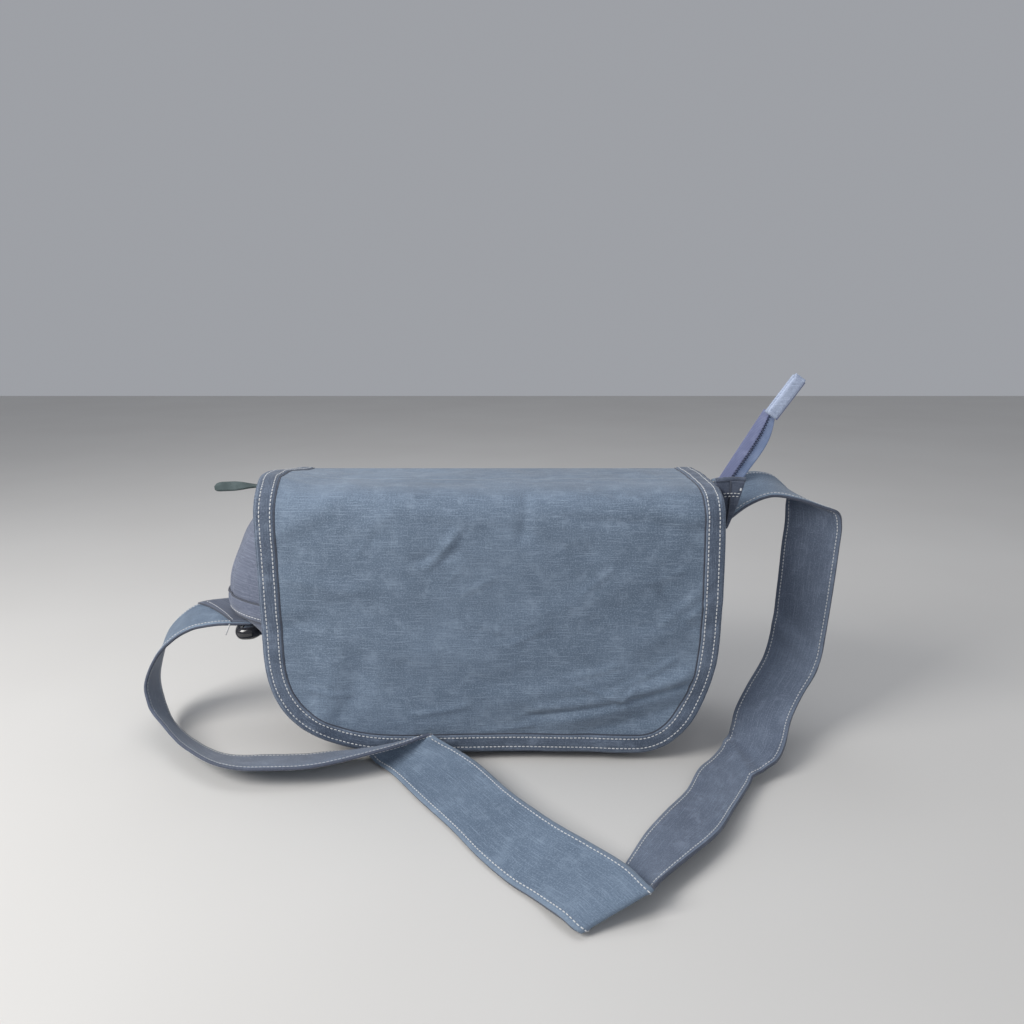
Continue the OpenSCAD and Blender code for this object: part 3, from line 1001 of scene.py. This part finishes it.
def gusset_where(side, bulge):
    """A gusset, u from the flat bottom up, v from edge to edge; side is -1 left, 1 right."""
    bulge_at = soft_line(bulge)

    def where(u, v):
        run = GUSSET_RUN * u
        if run < GUSSET_ARC:
            a = run / CORNER_R
            x = FLAT_W + CORNER_R * math.sin(a)
            z = CORNER_R - CORNER_R * math.cos(a)
            nx, nz = math.sin(a), -math.cos(a)
        else:
            x, z, nx, nz = BODY_W, CORNER_R + run - GUSSET_ARC, 1.0, 0.0
        t = 2 * v - 1
        y = MID_Y - (HALF_D - 0.6) * t * side
        room = 1 - abs(t) ** 2.2
        ripple = 0.8 * wave(z, y, side * 9, 50, 24) + 0.35 * wave(z, y, side * 9, 15, 25)
        out = room * (bulge_at(z) + ripple * smooth(z / 30))
        if side < 0:
            pleat = bump(y, 0.10 * (z - 120) - 16, 3.2)
            out -= 1.6 * room * pleat * smooth((z - 112) / 12) * smooth((176 - z) / 30)
        z_out = max(z + nz * out * 0.5, 0.0) + 1.1 * smooth(1 - z / 60)
        return side * (x + nx * out), y, z_out

    return where


left_where = gusset_where(-1, LEFT_BULGE)
right_where = gusset_where(1, RIGHT_BULGE)
for node, rows, cols, where, thickness, material, slot in (
    ("front_panel", 60, 60, front_where, 2.0, dark_canvas, "canvas_dark"),
    ("back_panel", 80, 90, back_where, 2.0, flap_canvas, "canvas"),
    ("bottom_panel", 20, 24, bottom_where, 2.0, dark_canvas, "canvas_dark"),
    ("left_gusset", 130, 56, left_where, 1.8, gusset_canvas, "gusset_canvas"),
    ("right_gusset", 90, 40, right_where, 1.8, gusset_canvas, "gusset_canvas"),
):
    surface(node + "_cloth", rows, cols, where, thickness, material, slot,
            node=node, lining=lining_canvas)
surface("base_board_plate", 4, 4, lambda u, v: (86 - 172 * u, -42 + 90 * v, 3.3), 2.0,
        board_black, "stiffener", node="base_board")

for label, y in (("front", FRONT + 0.4), ("back", BACK - 0.4)):
    heights = [panel_row(1 - k / 120) for k in range(121)]
    left_rim = [(-panel_half(z) - 0.3, y, z + 0.9) for z in heights]
    low_rim = [(FLAT_W * (k / 15 - 1), y, 0.9) for k in range(1, 30)]
    right_rim = [(-x, y, z) for x, y, z in left_rim[::-1]]
    cord_line("body_edge_binding_" + label, left_rim + low_rim + right_rim, 0.9, dark_canvas,
              "canvas_dark")


# The left gusset's folded hem, with a dark seam along both edges.
def left_skin(z, v, out):
    """A point on the left gusset above the rounded corner, lifted by out."""
    x, y, z_out = left_where((GUSSET_ARC + z - CORNER_R) / GUSSET_RUN, v)
    return x - out, y + out * 0.5 * (2 * v - 1), z_out


def hem_where(u, v):
    return left_skin(109.5 + 14.5 * u, 0.02 + 0.96 * v, 1.5 + 0.7 * math.sin(math.pi * u))


def hem_line(z, out):
    return sweep(60, lambda t: left_skin(z, 0.02 + 0.96 * t, out))


surface("left_hem_cloth", 12, 60, hem_where, 1.2, gusset_canvas, "gusset_canvas",
        node="left_gusset_hem")
for label, z in (("upper", 124.6), ("lower", 109.2)):
    cord_line("left_hem_seam_" + label, hem_line(z, 1.9), 0.85, dark_thread, "gusset_canvas")
stitches("left_hem_stitches", hem_line(112.4, 2.6), (-1, 0, 0), "gusset_canvas",
         pitch=3.4, size=0.36)


# ---------------------------------------------------------------- pockets
POCKET_DEPTH = 6.6


def pocket_where(half, low, high, wall, sag):
    """A patch pocket on the front of a wall, its upper edge sagging in the middle."""
    def where(u, v):
        t = 2 * v - 1
        x = -half * t
        top = high - sag * (1 - t * t)
        z = low + (top - low) * u
        side = smooth((1 - abs(t)) * half / 9)
        foot = smooth(u * (top - low) / 9)
        y = wall - POCKET_DEPTH * min(side, foot) + 0.3 * wave(x, z, 0, 34, 31) * side * foot
        return x, y, z
    return where


surface("front_pocket_cloth", 50, 90, pocket_where(138, 26, 168, FRONT - 0.6, 2.5), 1.2,
        dark_canvas, "canvas_dark", node="front_pocket", lining=lining_canvas)
surface("inner_pocket_cloth", 40, 70, pocket_where(95, 60, 150, BACK - 2.6, 2), 1.2,
        lining_canvas, "lining", node="inner_pocket")
for label, drop in (("a", 4), ("b", 12)):
    hem = sweep(90, lambda t: (-129 + 258 * t, FRONT - 8, 164 - drop + 2 * (2 * t - 1) ** 2))
    stitches("front_pocket_hem_" + label, hem, (0, -1, 0), "canvas_dark", size=0.4)
pocket_rim = [(-136, FRONT - 0.9, 166 - 1.2 * k) for k in range(112)]
pocket_rim += [(-136 + 2 * k, FRONT - 0.9, 28) for k in range(137)]
pocket_rim += [(136, FRONT - 0.9, 32 + 1.2 * k) for k in range(112)]
stitches("front_pocket_seam", pocket_rim, (0, -1, 0), "canvas_dark", size=0.4)


# ---------------------------------------------------------------- the flap's seam on the back
def strip_where(u, v):
    x = -169 + 338 * v
    z = 170 + 41.5 * u
    y = between([(170, BACK + 2.6), (185, BACK + 1.8), (198, BACK + 1.9), (212, 56.6)], z)
    return x, y + 0.25 * wave(x, z, 0, 20, 33), z


surface("seam_strip_cloth", 24, 80, strip_where, 1.6, band_canvas, "canvas",
        node="flap_seam_strip")
for label, u in (("low", 0.08), ("high", 0.52)):
    line = [(x, y + 0.9, z) for x, y, z in sweep(100, lambda v: strip_where(u, v))]
    stitches("seam_strip_stitches_" + label, line, (0, 1, 0), "canvas", size=0.45)


# ---------------------------------------------------------------- the zipped mouth
MOUTH_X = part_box("zip_panel_front")[1].x / MM
TAPE_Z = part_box("zip_tape_front")[0].z / MM
teeth_low, teeth_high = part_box("zip_teeth_front")
TEETH_Z = (teeth_low.z + teeth_high.z) / 2 / MM
COIL_TURNS = 220
# The four places of one turn of the coil: off the middle line, and over the tape.
COIL_Y = (0.62, 1.5, 2.4, 1.5)
COIL_Z = (0, 0.42, 0, -0.42)


def mouth_where(side):
    """The cloth from a panel's upper edge over to the zip; side is -1 front, 1 back."""
    edge = FRONT if side < 0 else BACK
    path = [(edge - side * 1.6, 195.5), (edge - side * 2.0, 200), (edge - side * 4.2, 203.4),
            (edge - side * 12, TAPE_Z - 1.1), (side * 4, TAPE_Z - 1.1)]

    def where(u, v):
        x = MOUTH_X * (1 - 2 * v) * side
        y, z = along_path(path, u)
        return x, y, z + 0.35 * wave(x, y, 0, 34, 35) * smooth(u * 2)
    return where


def tape_where(low_y, high_y):
    def where(u, v):
        z = TAPE_Z + 0.35 + 0.12 * wave(v * 300, u * 9, 0, 14, 36)
        return MOUTH_X * (2 * v - 1), low_y + (high_y - low_y) * u, z
    return where


def coil_line(side):
    """One side of the zip's coil, the back's turns set between the front's."""
    last = COIL_TURNS * 4
    out = []
    for k in range(last + 1):
        x = -MOUTH_X + 0.4 + (2 * MOUTH_X - 0.8) * k / last
        if side > 0 and 4 < k < last - 4:
            x += MOUTH_X / COIL_TURNS * 0.5
        out.append((x, side * COIL_Y[k % 4], TEETH_Z + COIL_Z[k % 4]))
    return out


for side, label in ((-1, "front"), (1, "back")):
    body = "mouth_" + label
    panel = surface("mouth_panel_" + label, 24, 80, mouth_where(side), 1.4, dark_canvas,
                    "canvas_dark", None, "zip_panel_" + label, lining_canvas)
    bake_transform(panel)
    tape_low, tape_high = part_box("zip_tape_" + label)
    surface("zip_tape_cloth_" + label, 6, 100, tape_where(tape_low.y / MM, tape_high.y / MM), 0.7,
            zip_tape, "zip_tape", body, "zip_tape_" + label)
    line = sweep(120, lambda t: (MOUTH_X * (2 * t - 1), side * 10.5, TAPE_Z + 0.85))
    stitches("zip_tape_stitches_" + label, line, (0, 0, 1), "zip_tape", body, size=0.34)
    cord_line("zip_coil_" + label, coil_line(side), 0.42, coil_nylon, "zip_teeth", body,
              "zip_teeth_" + label, sides=6)


def zip_end_where(side):
    """The piece past the zip's end: level at the zip, then down to the gusset's upper edge."""
    gusset = left_where if side < 0 else right_where
    x0, z0 = side * (MOUTH_X + 0.5), 204.2

    def where(u, v):
        x1, y1, z1 = gusset(1.0, v if side < 0 else 1 - v)
        y = FRONT + 2 + (BACK - FRONT - 4) * v
        return x0 + (x1 - x0) * u, y + (y1 - y) * u ** 2, z0 + (z1 - 1.0 - z0) * u ** 2.2
    return where


for side, label in ((-1, "left"), (1, "right")):
    surface("zip_end_cloth_" + label, 16, 40, zip_end_where(side), 1.6, dark_canvas,
            "canvas_dark", node="zip_end_" + label)


# ---------------------------------------------------------------- tab on the right gusset
def tab_where(lift):
    """A square of canvas folded to a point: wide at the top, its tip below."""
    def where(u, v):
        z = 220.5 - 38.5 * u
        left = 172.0 + 7.0 * u
        right = 194.5 - 12.0 * u ** 1.1
        x = left + (right - left) * v
        y = -31.4 - lift + 1.8 * (v - 0.4) ** 2 - 1.6 * math.sin(math.pi * u) * v
        return x, y, z + 1.2 * math.sin(2.6 * v)
    return where


def fold_where(u, v):
    """The half of the tab that is folded over the other."""
    return tab_where(1.6)(0.03 + 0.93 * u, 0.48 + 0.12 * u + 0.50 * v * (1 - 0.2 * u))


surface("right_tab_cloth", 30, 24, tab_where(0), 2.4, dark_canvas, "canvas_dark",
        node="right_gusset_tab")
surface("right_tab_fold", 30, 12, fold_where, 1.2, dark_canvas, "canvas_dark")
cord_line("right_tab_rolled_top", sweep(20, lambda t: tab_where(0.4)(0.0, t)), 1.9, dark_canvas,
          "canvas_dark")
fold_line = sweep(20, lambda t: tab_where(2.3)(0.03 + 0.93 * t, 0.48 + 0.12 * t))
cord_line("right_tab_fold_line", fold_line, 0.5, dark_thread, "canvas_dark")
for label, u in (("upper", 0.27), ("lower", 0.33)):
    line = sweep(20, lambda t: tab_where(2.7)(u, 0.04 + 0.9 * t))
    stitches("right_tab_stitches_" + label, line, (0, -1, 0), "canvas_dark", pitch=2.6, size=0.38)
cord_line("right_tab_bartack", sweep(4, lambda t: tab_where(3.0)(0.16 + 0.05 * t, 0.90)), 0.75,
          stitch_thread, "canvas_dark")


# ---------------------------------------------------------------- the zip's free end and its cap
TAIL_TURNS = 28


def tail_where(x0, x1, y0, y1):
    """One half of the tail's tape: x0 and x1 are its share of the width, 0 left to 1 right."""
    def where(u, v):
        share = x0 + (x1 - x0) * v
        low = (180 + 20 * share, 208 + 2 * share)
        high = (217 + 8 * share, 271 - 6 * share)
        bow = 4.5 * share * math.sin(math.pi * u ** 1.5)
        x = low[0] + (high[0] - low[0]) * u + bow
        z = low[1] + (high[1] - low[1]) * u - bow * 0.4
        return x, y0 + (y1 - y0) * v + 0.8 * math.sin(2.4 * u), z
    return where


def tail_coil_line():
    where = tail_where(0.42, 0.56, 2.0, 1.9)
    out = []
    for k in range(TAIL_TURNS * 4 + 1):
        x, y, z = where(0.02 + 0.95 * k / (TAIL_TURNS * 4), (0.0, 0.5, 1.0, 0.5)[k % 4])
        out.append((x, y - (0.3, 0.9, 0.3, -0.3)[k % 4], z))
    return out


# The tail's left half takes the tape copy with painted shade, and the right half takes the lit
# copy.
surface("zip_tail_left_half", 40, 8, tail_where(0.0, 0.47, 6.2, 2.4), 0.9, tail_shaded,
        "zip_tape", node="zip_tail")
surface("zip_tail_right_half", 40, 8, tail_where(0.49, 1.0, 2.4, 3.6), 0.9, tail_bright, "zip_tape")
cord_line("zip_tail_coil", tail_coil_line(), 0.45, coil_nylon, "zip_teeth",
          node="zip_tail_teeth", sides=6)


def cap_spot(a, b, y):
    """A place on the cap: a from its lower end up, b from left to right, each 0 to 1."""
    return 217.5 + 20.0 * a + 7.6 * b, y, 268.5 + 29.0 * a - 5.2 * b


def cap_face(y, inward):
    def where(u, v):
        round_off = 1.1 * (abs(2 * v - 1) ** 6 + abs(2 * u - 1) ** 14)
        return cap_spot(u, v, y + round_off * inward)
    return where


surface("tail_cap_front", 24, 12, cap_face(0.2, 1), 1.0, cap_canvas, "tail_tab",
        node="tail_end_tab")
surface("tail_cap_back", 24, 12, cap_face(5.2, -1), 1.0, cap_canvas, "tail_tab")
# The cap's right edge uses the tail tape's copy with painted shade.
for label, b, material in (("left", 0.0, cap_canvas), ("right", 1.0, tail_shaded)):
    cord_line("tail_cap_edge_" + label, sweep(16, lambda a: cap_spot(a, b, 2.7)), 1.8, material,
              "tail_tab", flat=0.9)
cord_line("tail_cap_fold", sweep(8, lambda b: cap_spot(1.0, b, 2.7)), 2.2, cap_canvas, "tail_tab")
stitches("tail_cap_stitches", sweep(8, lambda b: (219.6 + 7.2 * b, -0.3, 271.6 - 5.0 * b)),
         (0, -1, 0), "tail_tab", material=cap_canvas, pitch=1.6, size=0.35)


# ---------------------------------------------------------------- the zip slider and its pull
slider_low, slider_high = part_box("zip_slider")
SLIDER_X = (slider_low.x + slider_high.x) / 2 / MM
SLIDER_HALF = (slider_high.x - slider_low.x) / 2 / MM
SLIDER_LOW = slider_low.z / MM
ring_low, ring_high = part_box("pull_ring")
RING_Z = (ring_low.z + ring_high.z) / 2 / MM


def slider_where(u, v):
    """The top plate: pointed at the open end, wide shouldered where the chain goes in."""
    along = 2 * u - 1
    half = 4.9 * (1 - abs(along) ** 5) ** 0.4 * (0.86 + 0.14 * math.cos(math.pi * (along - 0.3)))
    t = 2 * v - 1
    x = SLIDER_X + along * (SLIDER_HALF - 0.3)
    return x, half * t, SLIDER_LOW + 0.9 + 0.35 * (1 - t * t)


def signed_power(value, power):
    return math.copysign(abs(value) ** power, value)


def ring_where(t):
    c, s = math.cos(2 * math.pi * t), math.sin(2 * math.pi * t)
    y = 2.9 * signed_power(s, 0.7) * (1.0 if c > 0 else 0.85)
    return SLIDER_X - 7.0 + 8.0 * c, y, RING_Z


def pull_where(u, v):
    """A suede strip that twists from lying flat at the ring to half upright at its rounded tip."""
    x = SLIDER_X - 12.5 - 44.5 * u
    tip = (1 - max(0.0, (u - 0.86) / 0.14) ** 2.4) ** 0.45
    half = (1.9 + 2.6 * smooth(u * 1.5)) * tip + 0.05
    turn = 0.64 * smooth((u - 0.12) / 0.55)
    t = (2 * v - 1) * half
    middle = RING_Z + 0.5 * math.sin(2.3 * u) - 1.0 * u ** 2
    return x, t * math.cos(turn), middle + t * math.sin(turn)


def pull_loop(k):
    a = math.pi * k / 10
    return SLIDER_X - 12.2 - 2.0 * math.sin(a), 0.0, RING_Z + 1.3 * math.cos(a)


surface("zip_slider_plate", 24, 14, slider_where, 1.1, black_gloss, "black_hardware", "slider",
        "zip_slider")
for name, line, radius in (
    ("post", sweep(5, lambda t: (SLIDER_X - 2, 0, SLIDER_LOW + 0.9 + 2.9 * t)), 1.35),
    ("bridge", sweep(10, lambda t: (SLIDER_X - 2 + 6.6 * t, 0, SLIDER_LOW + 3.3 - 2.2 * t ** 3)),
     0.9),
):
    cord_line("zip_slider_" + name, line, radius, black_gloss, "black_hardware", "slider")
cord_line("pull_ring_wire", sweep(48, ring_where), 0.8, black_metal, "pull_metal", "pull",
          "pull_ring", sides=10)
surface("pull_tab_suede", 44, 10, pull_where, 1.5, suede, "pull_leather", "pull", "pull_tab")
cord_line("pull_tab_loop", [pull_loop(k) for k in range(-1, 12)], 0.9, suede, "pull_leather",
          "pull")
stitches("pull_tab_stitches", sweep(6, lambda t: pull_where(0.10, 0.12 + 0.76 * t)), (0, -0.3, 1),
         "pull_leather", "pull", dark_thread, pitch=1.3, size=0.4)


# ---------------------------------------------------------------- the strap's slider and anchor
# The anchor webbing from the gusset out round the bar and back, (x, z) in mm.
ANCHOR_PATH = [
    (-178, 97.3), (-188, 97.6), (-196, 97.6), (-200.6, 96.8), (-202.4, 94.2), (-200.6, 91.4),
    (-195, 90.8), (-186, 91.0), (-176, 91.6),
]


def frame_where(t):
    """The slider's frame, a rounded oblong that the strap goes through."""
    c, s = math.cos(2 * math.pi * t), math.sin(2 * math.pi * t)
    return -198.0 + 8.8 * signed_power(c, 0.66), 25.2 * signed_power(s, 0.66), 93.2 + 0.9 * c


def anchor_where(u, v):
    x, z = along_path(ANCHOR_PATH, u)
    return x, -20.5 + 41 * v, z


cord_line("strap_slider_frame", sweep(80, frame_where), 3.9, black_gloss, "black_hardware",
          node="strap_slider", sides=16, flat=1.3)
cord_line("strap_slider_bar", sweep(12, lambda t: (-198.6, -24 + 48 * t, 94.2)), 2.2, black_gloss,
          "black_hardware")
surface("left_anchor_webbing", 32, 20, anchor_where, 1.6, strap_under, "canvas_dark",
        node="left_anchor_tab")


# ---------------------------------------------------------------- the strap's folded end
def end_where(lift):
    """A point near the strap's left end: u along from the end, v from the near edge to the far."""
    def where(u, v):
        reach = (17 + 38 * v) * u
        at, k = 0.0, 0
        while k < 40 and at < reach:
            a = (near_rail[k] + far_rail[k]) / 2
            b = (near_rail[k + 1] + far_rail[k + 1]) / 2
            at += (b - a).length / MM
            k += 1
        across = far_rail[k] - near_rail[k]
        way = (near_rail[k + 1] + far_rail[k + 1] - near_rail[k] - far_rail[k]).normalized()
        up = across.cross(way).normalized()
        back = (at - reach) * MM if reach > 0 else 0.0
        point = near_rail[k].lerp(far_rail[k], 0.02 + 0.96 * v) - way * back + up * lift * MM
        return point.x / MM, point.y / MM, point.z / MM
    return where


# The turned end wears the darker canvas with painted shade.
surface("strap_end_turned", 24, 20, end_where(1.9), 1.3, strap_turned_shade, "strap")
cord_line("strap_end_seam", sweep(30, lambda t: end_where(2.0)(1.0, t)), 0.75, dark_thread, "strap")
for label, u in (("a", 0.90), ("b", 0.10)):
    line = sweep(30, lambda t: end_where(2.6)(u, 0.05 + 0.9 * t))
    stitches("strap_end_stitches_" + label, line, (0, 0, 1), "strap", pitch=3.0, size=0.30)
cord_line("strap_end_thread", [(-211, -25.5, 101.5), (-212.5, -26.5, 97), (-214.5, -26.5, 92.5)],
          0.55, stitch_thread, "strap")
